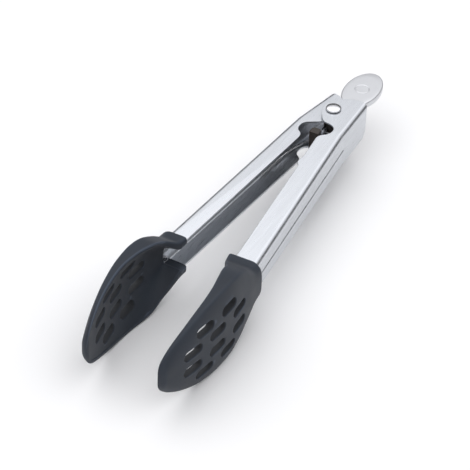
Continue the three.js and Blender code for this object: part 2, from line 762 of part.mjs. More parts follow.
place("lock_bar", lockBar(), brightSteel);
place("lock_shoe", lockShoe(), darkNylon);
place("lock_pin", lockPin(), brightSteel);
place("pull_tab", pullTab(), satinMetal);

for (const side of ["right", "left"]) {
  const arm = side === "right" ? rightArm : leftArm;
  const facing = side === "right" ? (solid) => solid : mirrored;
  place(`head_core_${side}`, facing(headCore()), coreNylon);
  place(`head_scoop_${side}`, facing(headScoop(arm)), softGrey);
  for (const [level, height] of [["top", rivetPlaces[0]], ["bottom", rivetPlaces[1]]]) {
    place(`head_rivet_${side}_${level}`, facing(headRivet(height, arm)), brightSteel);
  }
}

const model = new THREE.Group();
model.add(tongs);

export default model;
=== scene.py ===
"""Spring loaded kitchen tongs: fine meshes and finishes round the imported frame.

Shapes are drawn in millimetres about the middle of the hinge rivet, with +Z along the rivet,
+Y towards the pull tab and the scoops towards -Y. They are then turned into metres and moved
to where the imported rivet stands.
"""

import logging
import math
from collections.abc import Callable, Iterable, Sequence
from dataclasses import dataclass, field
from enum import Enum
from functools import cached_property, partial

import bmesh
import bpy
from mathutils import Matrix, Vector
from mathutils.geometry import tessellate_polygon


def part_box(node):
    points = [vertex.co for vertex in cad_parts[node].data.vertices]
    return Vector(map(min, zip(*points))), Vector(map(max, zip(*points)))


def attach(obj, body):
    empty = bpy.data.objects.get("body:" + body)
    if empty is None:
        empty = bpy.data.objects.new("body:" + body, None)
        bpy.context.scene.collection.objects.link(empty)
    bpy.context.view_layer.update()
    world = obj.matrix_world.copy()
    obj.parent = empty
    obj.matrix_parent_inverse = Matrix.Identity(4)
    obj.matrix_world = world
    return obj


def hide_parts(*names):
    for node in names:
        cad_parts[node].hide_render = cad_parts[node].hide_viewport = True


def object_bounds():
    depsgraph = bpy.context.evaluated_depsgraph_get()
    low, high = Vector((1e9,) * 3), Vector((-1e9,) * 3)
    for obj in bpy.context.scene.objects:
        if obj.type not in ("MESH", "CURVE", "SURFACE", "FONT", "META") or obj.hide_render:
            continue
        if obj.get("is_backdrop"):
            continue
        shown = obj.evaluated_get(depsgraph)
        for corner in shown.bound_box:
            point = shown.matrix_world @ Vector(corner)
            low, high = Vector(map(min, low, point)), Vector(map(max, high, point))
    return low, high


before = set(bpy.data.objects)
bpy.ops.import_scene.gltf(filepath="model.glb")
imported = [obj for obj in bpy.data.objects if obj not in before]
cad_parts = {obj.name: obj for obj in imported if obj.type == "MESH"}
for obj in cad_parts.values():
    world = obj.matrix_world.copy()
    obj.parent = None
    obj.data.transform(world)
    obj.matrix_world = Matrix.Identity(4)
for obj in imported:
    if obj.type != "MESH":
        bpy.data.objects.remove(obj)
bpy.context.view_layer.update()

LOG = logging.getLogger("tongs")
MM = 0.001
Point2 = tuple[float, float]
Point3 = tuple[float, float, float]
Outward = Callable[[Vector], Vector]
Socket = bpy.types.NodeSocket
WELD = 1e-4


class Side(Enum):
    """Which of the two arms a piece belongs to; the value is the sign of its X."""

    RIGHT = 1
    LEFT = -1

    @property
    def word(self) -> str:
        """The side's word in node and body names."""
        return self.name.lower()


# ------------------------------------------------------------------ small geometry
def lerp(a: float, b: float, share: float) -> float:
    """The value a share of the way from a to b."""
    return a + (b - a) * share


def clamp(value: float, low: float = 0.0, high: float = 1.0) -> float:
    """The value, kept between two limits."""
    return max(low, min(high, value))


def ease(share: float) -> float:
    """A smooth step from 0 to 1."""
    held = clamp(share)
    return held * held * (3 - 2 * held)


def spread(start: float, end: float, count: int) -> list[float]:
    """Evenly spaced values.

    Args:
        start: The first value.
        end: The last value.
        count: How many steps lie between them.

    Returns:
        The count + 1 values.
    """
    return [lerp(start, end, step / count) for step in range(count + 1)]


def around(count: int) -> list[float]:
    """The angles of points evenly spaced round a circle."""
    return [2 * math.pi * i / count for i in range(count)]


def quadratic(a: Point2, control: Point2, b: Point2, count: int) -> list[Point2]:
    """Points along a quadratic curve, without its first point.

    Args:
        a: Where the curve starts.
        control: The point that it bends towards.
        b: Where it ends.
        count: How many points to give.

    Returns:
        The points, ending with b.
    """
    points = []
    for t in spread(0, 1, count)[1:]:
        first, second, third = (1 - t) ** 2, 2 * t * (1 - t), t * t
        points.append(tuple(first * p + second * q + third * r for p, q, r in zip(a, control, b)))
    return points


def cubic(a: Point2, one: Point2, two: Point2, b: Point2, count: int) -> list[Point2]:
    """Points along a cubic curve, without its first point.

    Args:
        a: Where the curve starts.
        one: The first control point.
        two: The second control point.
        b: Where it ends.
        count: How many points to give.

    Returns:
        The points, ending with b.
    """
    points = []
    for t in spread(0, 1, count)[1:]:
        weights = ((1 - t) ** 3, 3 * t * (1 - t) ** 2, 3 * t * t * (1 - t), t**3)
        corners = (a, one, two, b)
        points.append(tuple(sum(w * c[k] for w, c in zip(weights, corners)) for k in (0, 1)))
    return points


@dataclass(frozen=True)
class SmoothTable:
    """A value that runs smoothly through (share, value) pairs."""

    pairs: tuple[Point2, ...]
    steps: int = 12

    @cached_property
    def samples(self) -> list[Point2]:
        """Closely spaced points of the curve through the pairs."""
        found = [self.pairs[0]]
        last = len(self.pairs) - 1
        for i in range(last):
            ends = [self.pairs[clamp_index(i + k, last)] for k in (-1, 0, 1, 2)]
            for t in spread(0, 1, self.steps)[1:]:
                found.append(tuple(self.between(t, [p[axis] for p in ends]) for axis in (0, 1)))
        return found

    @staticmethod
    def between(t: float, values: Sequence[float]) -> float:
        """A Catmull-Rom value between the middle two of four values."""
        p0, p1, p2, p3 = values
        v0, v1 = (p2 - p0) / 2, (p3 - p1) / 2
        third = 2 * p1 - 2 * p2 + v0 + v1
        second = 3 * p2 - 3 * p1 - 2 * v0 - v1
        return third * t**3 + second * t * t + v0 * t + p1

    def __call__(self, share: float) -> float:
        """The value at a share."""
        samples = self.samples
        if share <= samples[0][0]:
            return samples[0][1]
        for before, after in zip(samples, samples[1:]):
            if after[0] >= share:
                width = after[0] - before[0] or 1.0
                return lerp(before[1], after[1], (share - before[0]) / width)
        return samples[-1][1]


def clamp_index(index: int, last: int) -> int:
    """An index kept inside a list whose last index is given."""
    return max(0, min(last, index))


# ------------------------------------------------------------------ meshes
@dataclass
class MeshDraft:
    """Points in millimetres about the rivet, and faces between them."""

    points: list[Point3] = field(default_factory=list)
    faces: list[tuple[int, ...]] = field(default_factory=list)

    def add_points(self, points: Iterable[Point3]) -> int:
        """Adds points and gives the index of the first of them."""
        first = len(self.points)
        self.points.extend(points)
        return first

    def add_rows(self, rows: Sequence[Sequence[Point3]], closed: bool) -> None:
        """Joins rows of points, each as long as the others, by quads.

        Args:
            rows: The rows, in order.
            closed: Whether each row's last point joins its first.
        """
        count = len(rows[0])
        starts = [self.add_points(row) for row in rows]
        across = count if closed else count - 1
        for near, far in zip(starts, starts[1:]):
            for i in range(across):
                j = (i + 1) % count
                self.faces.append((near + i, near + j, far + j, far + i))

    def add_cap(self, row: Sequence[Point3]) -> None:
        """Closes a ring with one flat face."""
        first = self.add_points(row)
        self.faces.append(tuple(range(first, first + len(row))))

    def add_solid(self, rows: Sequence[Sequence[Point3]]) -> None:
        """Joins rings of points and closes the first and the last of them."""
        self.add_rows(rows, closed=True)
        self.add_cap(rows[0])
        self.add_cap(rows[-1])

    def add_sheet(self, loops: Sequence[Sequence[Point2]], height: Callable[[float], float]) -> None:
        """Fills a flat outline.

        Args:
            loops: The outline as (x, y) points, then any holes in it.
            height: The z of the sheet at a y.
        """
        flat = [[Vector((x, y, 0)) for x, y in loop] for loop in loops]
        first = self.add_points((x, y, height(y)) for loop in loops for x, y in loop)
        for a, b, c in tessellate_polygon(flat):
            self.faces.append((first + a, first + b, first + c))


@dataclass(frozen=True)
class Workshop:
    """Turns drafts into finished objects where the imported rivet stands."""

    rivet: Vector

    def object_from(self, name: str, draft: MeshDraft, outward: Outward | None = None) -> bpy.types.Object:
        """A mesh object, still in millimetres about the rivet.

        Args:
            name: The piece's name.
            draft: Its points and faces.
            outward: Gives a direction that points out of the piece at a place on it.

        Returns:
            The object, with its normals facing out where outward is given.
        """
        mesh = bpy.data.meshes.new(name)
        mesh.from_pydata(draft.points, [], draft.faces)
        shape = bmesh.new()
        shape.from_mesh(mesh)
        bmesh.ops.remove_doubles(shape, verts=shape.verts, dist=WELD)
        bmesh.ops.recalc_face_normals(shape, faces=shape.faces)
        if outward is not None:
            score = sum(f.normal.dot(outward(f.calc_center_median())) * f.calc_area() for f in shape.faces)
            if score < 0:
                bmesh.ops.reverse_faces(shape, faces=shape.faces)
        shape.to_mesh(mesh)
        shape.free()
        made = bpy.data.objects.new(name, mesh)
        bpy.context.scene.collection.objects.link(made)
        return made

    @staticmethod
    def apply(piece: bpy.types.Object) -> None:
        """Makes a piece's modifiers part of its mesh."""
        seen = piece.evaluated_get(bpy.context.evaluated_depsgraph_get())
        mesh = bpy.data.meshes.new_from_object(seen)
        piece.modifiers.clear()
        piece.data = mesh

    def finish(self, piece: bpy.types.Object, smooth_below: float = 40.0) -> bpy.types.Object:
        """Smooths a piece's shading, turns it into metres and moves it to the rivet.

        Args:
            piece: The object, in millimetres about the rivet.
            smooth_below: Edges sharper than this many degrees stay crisp.

        Returns:
            The same object.
        """
        piece.data.transform(Matrix.Translation(self.rivet) @ Matrix.Scale(MM, 4))
        piece.data.shade_smooth()
        piece.data.set_sharp_from_angle(angle=math.radians(smooth_below))
        return piece

    @staticmethod
    def merge_flats(piece: bpy.types.Object, below: float = 0.05) -> None:
        """Joins neighbouring faces that lie in one plane.

        Args:
            piece: The object.
            below: Faces that turn by less than this many degrees are joined.
        """
        shape = bmesh.new()
        shape.from_mesh(piece.data)
        angle = math.radians(below)
        bmesh.ops.dissolve_limit(shape, angle_limit=angle, verts=[], edges=shape.edges)
        shape.to_mesh(piece.data)
        shape.free()

    @staticmethod
    def flatten_shading(piece: bpy.types.Object) -> None:
        """Lets a piece's large flat faces shade flat, with only its bends and edges round."""
        weighted = piece.modifiers.new("flats", "WEIGHTED_NORMAL")
        weighted.weight = 100
        weighted.keep_sharp = True


def soften(piece: bpy.types.Object, width: float, segments: int = 2, above: float = 40.0) -> None:
    """Rounds a piece's sharp edges.

    Args:
        piece: The object, in millimetres.
        width: How wide the rounded edge is.
        segments: How many faces it is made of.
        above: Only edges sharper than this many degrees are rounded.
    """
    bevel = piece.modifiers.new("edges", "BEVEL")
    bevel.width = width
    bevel.segments = segments
    bevel.limit_method = "ANGLE"
    bevel.angle_limit = math.radians(above)
    bevel.use_clamp_overlap = False
    bevel.miter_outer = "MITER_ARC"


def lathe(profile: Sequence[Point2], segments: int = 64) -> MeshDraft:
    """A closed round piece about Z.

    Args:
        profile: (radius, z) points that start and end on the axis.
        segments: How many faces go round.

    Returns:
        Its draft.
    """
    draft = MeshDraft()
    rows = []
    for radius, z in profile:
        rows.append([(radius * math.cos(t), radius * math.sin(t), z) for t in around(segments)])
    draft.add_rows(rows, closed=True)
    return draft


# ------------------------------------------------------------------ finishes
class NodeSheet:
    """A material's node tree, with short ways to add what the finishes share."""

    def __init__(self, name: str) -> None:
        """Starts a material with only a shader and an output.

        Args:
            name: The material's name.
        """
        self.material = bpy.data.materials.new(name)
        self.material.use_nodes = True
        self.tree = self.material.node_tree
        self.shader = self.tree.nodes["Principled BSDF"]
        self.place = self.tree.nodes.new("ShaderNodeTexCoord").outputs["Object"]

    def link(self, source: Socket, target: Socket) -> None:
        """Joins two sockets."""
        self.tree.links.new(source, target)

    def mapped(self, scale: Point3 = (1.0, 1.0, 1.0), turn: float = 0.0) -> Socket:
        """Object coordinates in metres, turned and stretched.

        Args:
            scale: The stretch along each axis.
            turn: The turn about Z, in degrees.

        Returns:
            The vector socket.
        """
        mapping = self.tree.nodes.new("ShaderNodeMapping")
        mapping.inputs["Scale"].default_value = scale
        mapping.inputs["Rotation"].default_value = (0.0, 0.0, math.radians(turn))
        self.link(self.place, mapping.inputs["Vector"])
        return mapping.outputs["Vector"]

    def noise(self, vector: Socket, scale: float, detail: float = 4.0) -> Socket:
        """A noise value from 0 to 1.

        Args:
            vector: Where it is read.
            scale: How fine it is.
            detail: How many finer layers it has.

        Returns:
            The value socket.
        """
        node = self.tree.nodes.new("ShaderNodeTexNoise")
        node.inputs["Scale"].default_value = scale
        node.inputs["Detail"].default_value = detail
        self.link(vector, node.inputs["Vector"])
        return node.outputs["Fac"]

    def ranged(self, value: Socket, source: Point2, target: Point2) -> Socket:
        """A value moved from one range to another, and kept inside it.

        Args:
            value: The value socket.
            source: The range that it is in.
            target: The range that it is wanted in.

        Returns:
            The new value socket.
        """
        node = self.tree.nodes.new("ShaderNodeMapRange")
        node.inputs["From Min"].default_value, node.inputs["From Max"].default_value = source
        node.inputs["To Min"].default_value, node.inputs["To Max"].default_value = target
        self.link(value, node.inputs["Value"])
        return node.outputs["Result"]

    def tinted(self, value: Socket, low: Point3, high: Point3) -> Socket:
        """A colour that runs from one to another as a value goes from 0 to 1.

        Args:
            value: The value socket.
            low: The colour at 0.
            high: The colour at 1.

        Returns:
            The colour socket.
        """
        first, second, mixed = self.mixer(value)
        first.default_value = (*low, 1.0)
        second.default_value = (*high, 1.0)
        return mixed

    def mixer(self, factor: Socket) -> tuple[Socket, ...]:
        """A mix of two colours.

        Args:
            factor: The socket that says how much of the second colour shows.

        Returns:
            The sockets of the first colour, the second colour and the mix.
        """
        node = self.tree.nodes.new("ShaderNodeMix")
        node.data_type = "RGBA"
        self.link(factor, node.inputs["Factor"])
        first, second = (s for s in node.inputs if s.type == "RGBA")
        mixed = next(s for s in node.outputs if s.type == "RGBA")
        return first, second, mixed

    def edged(self, tone: Socket, edge_wear_and_highlight: Socket, edge: Point3) -> Socket:
        """A colour with another colour on its sharp outside edges: edge wear on steel, a painted edge
        highlight on silicone.

        Args:
            tone: The colour socket.
            edge_wear_and_highlight: The socket that says how much of the edge colour shows.
            edge: The colour of a full edge, from wear on steel and from painted light on silicone.

        Returns:
            The new colour socket.
        """
        first, second, mixed = self.mixer(edge_wear_and_highlight)
        self.link(tone, first)
        second.default_value = (*edge, 1.0)
        return mixed

    def surface(self, tone: Socket, rough: Socket, metallic: float) -> None:
        """Sets the shader's colour, roughness and metal.

        Args:
            tone: The colour socket.
            rough: The roughness socket.
            metallic: 1 for metal and 0 for anything else.
        """
        self.shader.inputs["Metallic"].default_value = metallic
        self.link(tone, self.shader.inputs["Base Color"])
        self.link(rough, self.shader.inputs["Roughness"])

    def edge_wear_and_highlight(self, start: float, end: float) -> Socket:
        """A value that rises on outside edges, for edge wear on steel and a painted edge highlight on
        silicone.

        Args:
            start: The roundness where the edge colour begins.
            end: The roundness where it is full.

        Returns:
            The value socket.
        """
        geometry = self.tree.nodes.new("ShaderNodeNewGeometry")
        return self.ranged(geometry.outputs["Pointiness"], (start, end), WHOLE)

    def bump(self, value: Socket, depth_mm: float, strength: float = 1.0) -> None:
        """Raises the surface by a value.

        Args:
            value: The height socket.
            depth_mm: How high a value of 1 stands.
            strength: How much of it shows.
        """
        node = self.tree.nodes.new("ShaderNodeBump")
        node.inputs["Distance"].default_value = depth_mm * MM
        node.inputs["Strength"].default_value = strength
        self.link(value, node.inputs["Height"])
        self.link(node.outputs["Normal"], self.shader.inputs["Normal"])


WHOLE = (0.0, 1.0)
MIDDLE = (0.3, 0.7)


def lighter(colour: Point3, factor: float) -> Point3:
    """A colour multiplied by a factor."""
    return tuple(min(1.0, c * factor) for c in colour)


@dataclass(frozen=True)
class Finish:
    """What every finish has."""

    name: str
    colour: Point3
    roughness: float

    def shades(self, low: float, high: float) -> tuple[Point3, Point3]:
        """A darker and a lighter shade of the finish's colour."""
        return lighter(self.colour, low), lighter(self.colour, high)

    def rough_between(self, smoother: float, rougher: float) -> Point2:
        """The roughness, less one amount and plus another."""
        return self.roughness - smoother, self.roughness + rougher


@dataclass(frozen=True)
class BrushedSteel(Finish):
    """Sheet steel brushed one way, with brighter worn edges."""

    roughness: float = 0.3
    lean: float = 0.0

    def material(self) -> bpy.types.Material:
        """The material, with a fine grain and broader streaks that run along the arm."""
        sheet = NodeSheet(self.name)
        fine = sheet.noise(sheet.mapped((1.0, 0.02, 1.0), self.lean), 5200.0, 3.0)
        streaks = sheet.noise(sheet.mapped((1.0, 0.03, 1.0), self.lean), 1100.0, 2.0)
        tone = sheet.tinted(sheet.ranged(streaks, MIDDLE, WHOLE), *self.shades(0.96, 1.03))
        tone = sheet.edged(tone, sheet.edge_wear_and_highlight(0.52, 0.6), lighter(self.colour, 1.12))
        sheet.surface(tone, sheet.ranged(fine, MIDDLE, self.rough_between(0.05, 0.07)), 1.0)
        sheet.bump(fine, 0.004, 0.6)
        return sheet.material


@dataclass(frozen=True)
class PolishedSteel(Finish):
    """Bright steel with faint handling marks."""

    roughness: float = 0.16

    def material(self) -> bpy.types.Material:
        """The material, with faint slanting marks."""
        sheet = NodeSheet(self.name)
        cloud = sheet.noise(sheet.mapped(), 600.0, 3.0)
        marks = sheet.noise(sheet.mapped((1.0, 0.15, 1.0), 35.0), 3000.0, 2.0)
        tone = sheet.tinted(cloud, *self.shades(0.93, 1.04))
        sheet.surface(tone, sheet.ranged(marks, (0.35, 0.75), self.rough_between(0.04, 0.08)), 1.0)
        sheet.bump(marks, 0.002, 0.4)
        return sheet.material


@dataclass(frozen=True)
class BlastedMetal(Finish):
    """Satin metal with an even, fine-blasted grain."""

    roughness: float = 0.42

    def material(self) -> bpy.types.Material:
        """The material, with its blasted grit."""
        sheet = NodeSheet(self.name)
        grit = sheet.noise(sheet.mapped(), 4200.0, 3.0)
        cloud = sheet.noise(sheet.mapped(), 160.0, 2.0)
        tone = sheet.tinted(cloud, *self.shades(0.95, 1.04))
        sheet.surface(tone, sheet.ranged(grit, MIDDLE, self.rough_between(0.06, 0.06)), 1.0)
        sheet.bump(grit, 0.012, 0.5)
        return sheet.material


@dataclass(frozen=True)
class MouldedPlastic(Finish):
    """Hard moulded plastic with a fine spark-eroded skin."""

    roughness: float = 0.5

    def material(self) -> bpy.types.Material:
        """The material, with its moulded skin."""
        sheet = NodeSheet(self.name)
        skin = sheet.noise(sheet.mapped(), 2600.0, 4.0)
        cloud = sheet.noise(sheet.mapped(), 120.0, 2.0)
        tone = sheet.tinted(cloud, *self.shades(0.85, 1.2))
        sheet.surface(tone, sheet.ranged(skin, MIDDLE, self.rough_between(0.08, 0.1)), 0.0)
        sheet.bump(skin, 0.02, 0.5)
        return sheet.material


@dataclass(frozen=True)
class SoftSilicone(Finish):
    """Matte silicone: a dusty bloom, a fine skin and a painted highlight that makes its edges paler."""

    roughness: float = 0.62

    def material(self) -> bpy.types.Material:
        """The material, with its bloom, its skin and its painted edge highlight."""
        sheet = NodeSheet(self.name)
        sheet.shader.inputs["Specular IOR Level"].default_value = 0.36
        sheet.shader.inputs["Sheen Weight"].default_value = 0.06
        sheet.shader.inputs["Sheen Roughness"].default_value = 0.45
        bloom = sheet.noise(sheet.mapped(), 90.0, 5.0)
        skin = sheet.noise(sheet.mapped(), 3800.0, 3.0)
        tone = sheet.tinted(sheet.ranged(bloom, MIDDLE, WHOLE), *self.shades(0.88, 1.14))
        # Painted highlight: the rim and other sharp outside edges are lightened towards 2.6 times the
        # colour, where light from above would catch them.
        edge_wear_and_highlight = sheet.ranged(sheet.edge_wear_and_highlight(0.505, 0.57), WHOLE, (0.0, 0.8))
        tone = sheet.edged(tone, edge_wear_and_highlight, lighter(self.colour, 2.6))
        sheet.surface(tone, sheet.ranged(bloom, MIDDLE, self.rough_between(0.06, 0.06)), 0.0)
        sheet.bump(skin, 0.015, 0.45)
        return sheet.material


ARM_COLOUR = (0.60, 0.62, 0.65)
ARM_FINISH = {
    Side.RIGHT: BrushedSteel("brushed_steel_right", ARM_COLOUR, lean=-4.0),
    Side.LEFT: BrushedSteel("brushed_steel_left", ARM_COLOUR, lean=6.0),
}
RIVET_FINISH = PolishedSteel("bright_steel", (0.70, 0.70, 0.72))
WIRE_FINISH = PolishedSteel("spring_wire", (0.66, 0.66, 0.67), roughness=0.26)
TAB_FINISH = BlastedMetal("satin_metal", (0.66, 0.67, 0.69))
NYLON_FINISH = MouldedPlastic("dark_nylon", (0.030, 0.022, 0.018))
# The core's own colour; the scoops also lay it on their slot walls as painted shade.
CORE_AND_SLOT_SHADE_FINISH = MouldedPlastic("core_nylon", (0.018, 0.020, 0.024), roughness=0.6)
SCOOP_FINISH = SoftSilicone("grey_silicone", (0.021, 0.027, 0.038))


def dress(piece: bpy.types.Object, material: bpy.types.Material) -> None:
    """Gives a piece one material all over."""
    piece.data.materials.clear()
    piece.data.materials.append(material)


# ------------------------------------------------------------------ arms
SHEET = 0.9
BEND_RADIUS = 2.5
COLLAR_START = 117.3
HEAD_LENGTH = 77.2
HEAD_JOIN = COLLAR_START + 2.7
WEB_OUT_AT_HEAD = 22.6
ARM_END = COLLAR_START + 12.7
COLLAR_WALL = 2.55


@dataclass(frozen=True)
class ArmSizes:
    """One arm's sizes, drawn on the +X side."""

    side: Side
    kink_along: float
    kink_out: float
    taper_degrees: float
    tail: float
    flange: float
    cheek: float
    half: float
    half_end: float
    tail_start: float
    tail_short: float

    def web_out(self, distance: float) -> float:
        """The outside of the web at a distance from the rivet."""
        if distance < self.kink_along:
            return self.kink_out - (self.kink_along - distance) * math.tan(math.radians(self.taper_degrees))
        share = (distance - self.kink_along) / (HEAD_JOIN - self.kink_along)
        return lerp(self.kink_out, WEB_OUT_AT_HEAD, share)

    def half_height(self, distance: float) -> float:
        """Half the arm's height at a distance from the rivet."""
        share = max(0.0, distance - self.kink_along) / (ARM_END - self.kink_along)
        return lerp(self.half, self.half_end, share)

    def edge(self, distance: float) -> float:
        """The flange's free edge at a distance from the rivet."""
        return self.web_out(distance) - self.flange


RIGHT_ARM = ArmSizes(
    Side.RIGHT, kink_along=16, kink_out=13.1, taper_degrees=1.8, tail=12.2, flange=10.9,
    cheek=3.2, half=9.4, half_end=7.8, tail_start=0.25, tail_short=2.0,
)
LEFT_ARM = ArmSizes(
    Side.LEFT, kink_along=11, kink_out=13.0, taper_degrees=11.3, tail=13.8, flange=9.1,
    cheek=1.4, half=7.6, half_end=7.2, tail_start=0.0, tail_short=1.4,
)


def right_edge(arm: ArmSizes) -> list[Point2]:
    """The right flange's free edge from the tail round the lobe and the notch.

    Args:
        arm: The arm's sizes.

    Returns:
        The edge as (x, y) points.
    """
    corner = arm.web_out(-arm.tail)
    points = [(corner - BEND_RADIUS, arm.tail - arm.tail_start)]
    points += quadratic(points[-1], (corner - 3.2, arm.tail), (corner - 4, arm.tail), 4)
    points += cubic(points[-1], (2.5, 11.9), (-2.5, 8.2), (-4.4, 4.6), 16)
    points += cubic(points[-1], (-6.2, 0.6), (-4.6, -4.6), (-0.6, -9.6), 16)
    points += quadratic(points[-1], (0.2, -10.7), (2, -10.8), 6)
    points += cubic(points[-1], (5.2, -10.9), (7.4, -13), (7.2, -15.6), 12)
    points += cubic(points[-1], (7.1, -18.6), (5.2, -19.6), (4.2, -20.6), 12)
    points += quadratic(points[-1], (2.9, -21.9), (arm.edge(24), -24), 8)
    points.append((arm.edge(38), -38))
    points += quadratic(points[-1], (arm.edge(42) - 0.8, -41), (arm.edge(42) - 0.9, -42.6), 6)
    points += quadratic(points[-1], (arm.edge(44) - 0.9, -44.6), (arm.edge(45) + 0.2, -45.4), 6)
    points.append((arm.edge(47) + 0.3, -47))
    return points


def left_edge(arm: ArmSizes) -> list[Point2]:
    """The left flange's free edge from the tail round the lobe and the notch.

    Args:
        arm: The arm's sizes.

    Returns:
        The edge as (x, y) points, drawn on the +X side.
    """
    corner = arm.web_out(-arm.tail)
    points = [(corner - BEND_RADIUS, arm.tail)]
    points += cubic(points[-1], (2, 13.4), (-2.5, 9.4), (-4.4, 5), 16)
    points += cubic(points[-1], (-6.4, 0.6), (-4.4, -6.4), (1.4, -8.8), 16)
    points.append((6.4, -12))
    points += quadratic(points[-1], (8.9, -13.4), (8.9, -16.6), 8)
    points += quadratic(points[-1], (8.9, -19.2), (7.2, -20.6), 8)
    points += quadratic(points[-1], (arm.edge(23), -21.8), (arm.edge(25), -25), 8)
    return points


@dataclass
class Arm:
    """A folded channel: a web between two bends, and a flange above and below."""

    sizes: ArmSizes
    workshop: Workshop
    bend_steps: int = 8
    web_steps: int = 7
    groove_steps: int = 8
    groove_half: float = 0.7
    groove_depth: float = 0.7
    groove_start: float = 13.0
    groove_lead: float = 3.0
    rivet_hole: float = 1.85
    edge_round: float = 0.16
    shortest_edge: float = 0.3
    flange_run_out: Point2 = (1.0, 5.0)
    web_end: float = 6.7
    web_zone: float = 5.0
    corner_run: float = 7.0
    corner_drop: float = 4.4
    corner_power: float = 2.2

    def bend_line(self, distance: float) -> float:
        """The x where a flange starts to fold."""
        return self.sizes.web_out(distance) - BEND_RADIUS

    def section(self, distance: float) -> list[Point2]:
        """The outside of both bends and the creased web.

        Args:
            distance: How far the section is from the rivet.

        Returns:
            (x, z) points from the upper bend line to the lower one.
        """
        out, half = self.sizes.web_out(distance), self.sizes.half_height(distance)
        centre_x, centre_z = out - BEND_RADIUS, half - BEND_RADIUS
        turns = spread(0, math.pi / 2, self.bend_steps)
        bend = [(centre_x + BEND_RADIUS * math.sin(t), centre_z + BEND_RADIUS * math.cos(t)) for t in turns]
        web = [(out, z) for z in spread(centre_z, self.groove_half, self.web_steps)[1:]]
        pressed = self.groove_depth * clamp((distance - self.groove_start) / self.groove_lead)
        groove = []
        for z in spread(self.groove_half, 0, self.groove_steps // 2)[1:]:
            groove.append((out - pressed * (1 + math.cos(math.pi * z / self.groove_half)) / 2, z))
        upper = bend + web + groove
        return upper + [(x, -z) for x, z in reversed(upper[:-1])]

    def tail_end(self, index: int, z: float) -> float:
        """Where a column of the section ends at the tail, as a y.

        Args:
            index: The column's place in the section.
            z: The column's height.

        Returns:
            The y of its end.
        """
        sizes = self.sizes
        turn = clamp(index / self.bend_steps) * math.pi / 2
        drawn = (sizes.tail_short - sizes.tail_start) * (1 - math.cos(turn))
        upper = sizes.tail - sizes.tail_start - drawn
        fall = clamp((-z - (sizes.half - self.corner_run)) / self.corner_run)
        return upper - self.corner_drop * fall**self.corner_power

    def strip(self, draft: MeshDraft) -> list[float]:
        """Adds the web and both bends.

        Args:
            draft: Where the faces go.

        Returns:
            The distances of the bend lines' points, from the tail to the end.
        """
        sizes = self.sizes
        tail_row = []
        for index, (_, z) in enumerate(self.section(-sizes.tail)):
            y = self.tail_end(index, z)
            x, height = self.section(-y)[index]
            tail_row.append((x, y, height))
        groove_end = self.groove_start + self.groove_lead
        lead = spread(self.groove_start, groove_end, 6)
        run = spread(groove_end, COLLAR_START + self.web_end, 16)[1:]
        flange_end = COLLAR_START + self.flange_run_out[1]
        distances = sorted({-5.0, 0.0, 5.0, sizes.kink_along, flange_end, *lead, *run})
        rows = [tail_row] + [[(x, -d, z) for x, z in self.section(d)] for d in distances]
        draft.add_rows(rows, closed=False)
        return [-tail_row[0][1], -tail_row[-1][1], *distances]

    def flange_edge(self) -> list[Point2]:
        """The whole free edge of a flange, from the tail to where it runs out in the collar."""
        sizes = self.sizes
        points = right_edge(sizes) if sizes.side is Side.RIGHT else left_edge(sizes)
        start, end = (COLLAR_START + share for share in self.flange_run_out)
        points.append((sizes.edge(start), -start))
        points.append((self.bend_line(end), -end))
        return points

    def flange_z(self, sign: int, y: float) -> float:
        """The z of the upper (sign 1) or the lower (sign -1) flange at a y."""
        return sign * self.sizes.half_height(-y)

    def outward(self, at: Vector) -> Vector:
        """A direction that points out of the folded sheet at a place on it."""
        if abs(at.z) < self.web_zone:
            return Vector((self.sizes.side.value, 0, 0))
        return Vector((0, 0, at.z)).normalized()

    def flanges(self, draft: MeshDraft, distances: Sequence[float]) -> None:
        """Adds the upper and lower flange, each a lobe round the rivet and a long blade.

        Args:
            draft: Where the faces go.
            distances: The bend line's points, upper tail and lower tail first.
        """
        sizes = self.sizes
        edge = self.flange_edge()
        split = -sizes.kink_along
        after = next(i for i, (_, y) in enumerate(edge) if y < split)
        (x0, y0), (x1, y1) = edge[after - 1], edge[after]
        crossing = (lerp(x0, x1, (split - y0) / (y1 - y0)), split)
        end = -edge[-1][1]
        bend = [(self.bend_line(d), -d) for d in distances[2:]]
        turns = spread(0, 2 * math.pi, 32)[:-1]
        hole = [(self.rivet_hole * math.cos(t), self.rivet_hole * math.sin(t)) for t in turns]
        for sign in (1, -1):
            height = partial(self.flange_z, sign)
            tail = distances[0] if sign > 0 else distances[1]
            rim = edge[1:after] if sign > 0 else edge[6:after]
            rim = [p for p in rim if math.dist(p, crossing) > self.shortest_edge]
            blade = [p for p in edge[after:-1] if math.dist(p, crossing) > self.shortest_edge]
            inner = [p for p in bend if p[1] >= split]
            lobe = [(self.bend_line(tail), -tail), *rim, crossing, *reversed(inner)]
            draft.add_sheet([lobe, hole], height)
            outer = [p for p in bend if split >= p[1] >= -end]
            draft.add_sheet([[crossing, *blade, *reversed(outer)]], height)

    def build(self) -> bpy.types.Object:
        """The arm as one folded sheet of even thickness.

        Returns:
            The finished object.
        """
        draft = MeshDraft()
        distances = self.strip(draft)
        self.flanges(draft, distances)
        sign = self.sizes.side.value
        draft.points = [(sign * x, y, z) for x, y, z in draft.points]
        piece = self.workshop.object_from(f"{self.sizes.side.word}_arm_sheet", draft, self.outward)
        thick = piece.modifiers.new("sheet", "SOLIDIFY")
        thick.thickness = SHEET
        thick.offset = -1.0
        thick.use_even_offset = True
        thick.use_quality_normals = True
        self.workshop.apply(piece)
        self.workshop.merge_flats(piece)
        soften(piece, self.edge_round, 3, above=60.0)
        self.workshop.apply(piece)
        self.workshop.finish(piece, 50.0)
        self.workshop.flatten_shading(piece)
        return piece

